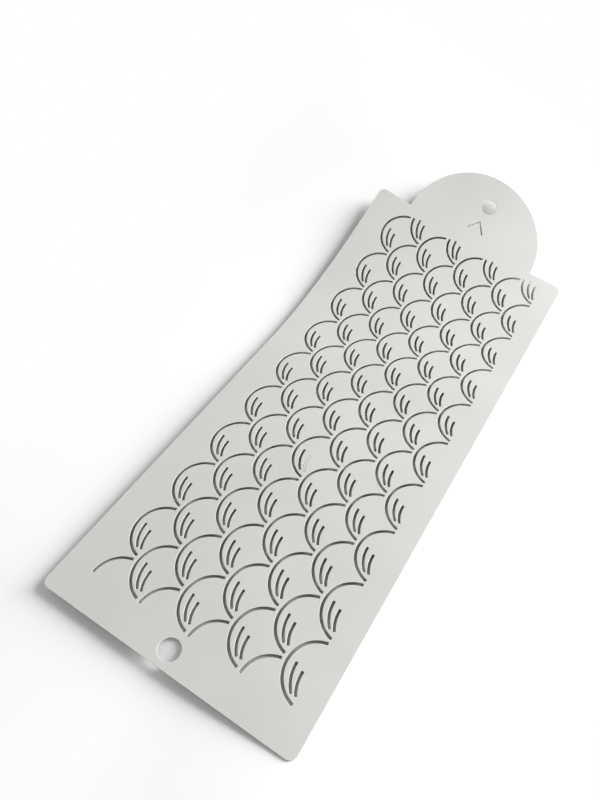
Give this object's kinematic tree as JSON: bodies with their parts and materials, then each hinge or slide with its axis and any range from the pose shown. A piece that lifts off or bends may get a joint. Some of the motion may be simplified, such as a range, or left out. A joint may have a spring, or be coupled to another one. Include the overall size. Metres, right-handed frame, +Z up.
{
  "type": "craft stencil",
  "caption": "Flexible plastic stencil sheet cut through with a scale pattern of curved slots, with a round hanging tab that curls up at one end and a small hole at the other.",
  "frame": {"origin": "middle of the box in plan, at the level of the table that the sheet lies on", "axes": "+X across the sheet, +Y along it towards the hanging tab, +Z up"},
  "size_m": [0.1036, 0.275, 0.0353],
  "materials": {
    "sheet_plastic": "satin, slightly translucent white",
    "slug_plastic": "satin, slightly translucent white"
  },
  "bodies": {
    "root": {"stencil_sheet": "sheet_plastic", "slot_slug": "slug_plastic"}
  },
  "joints": []
}
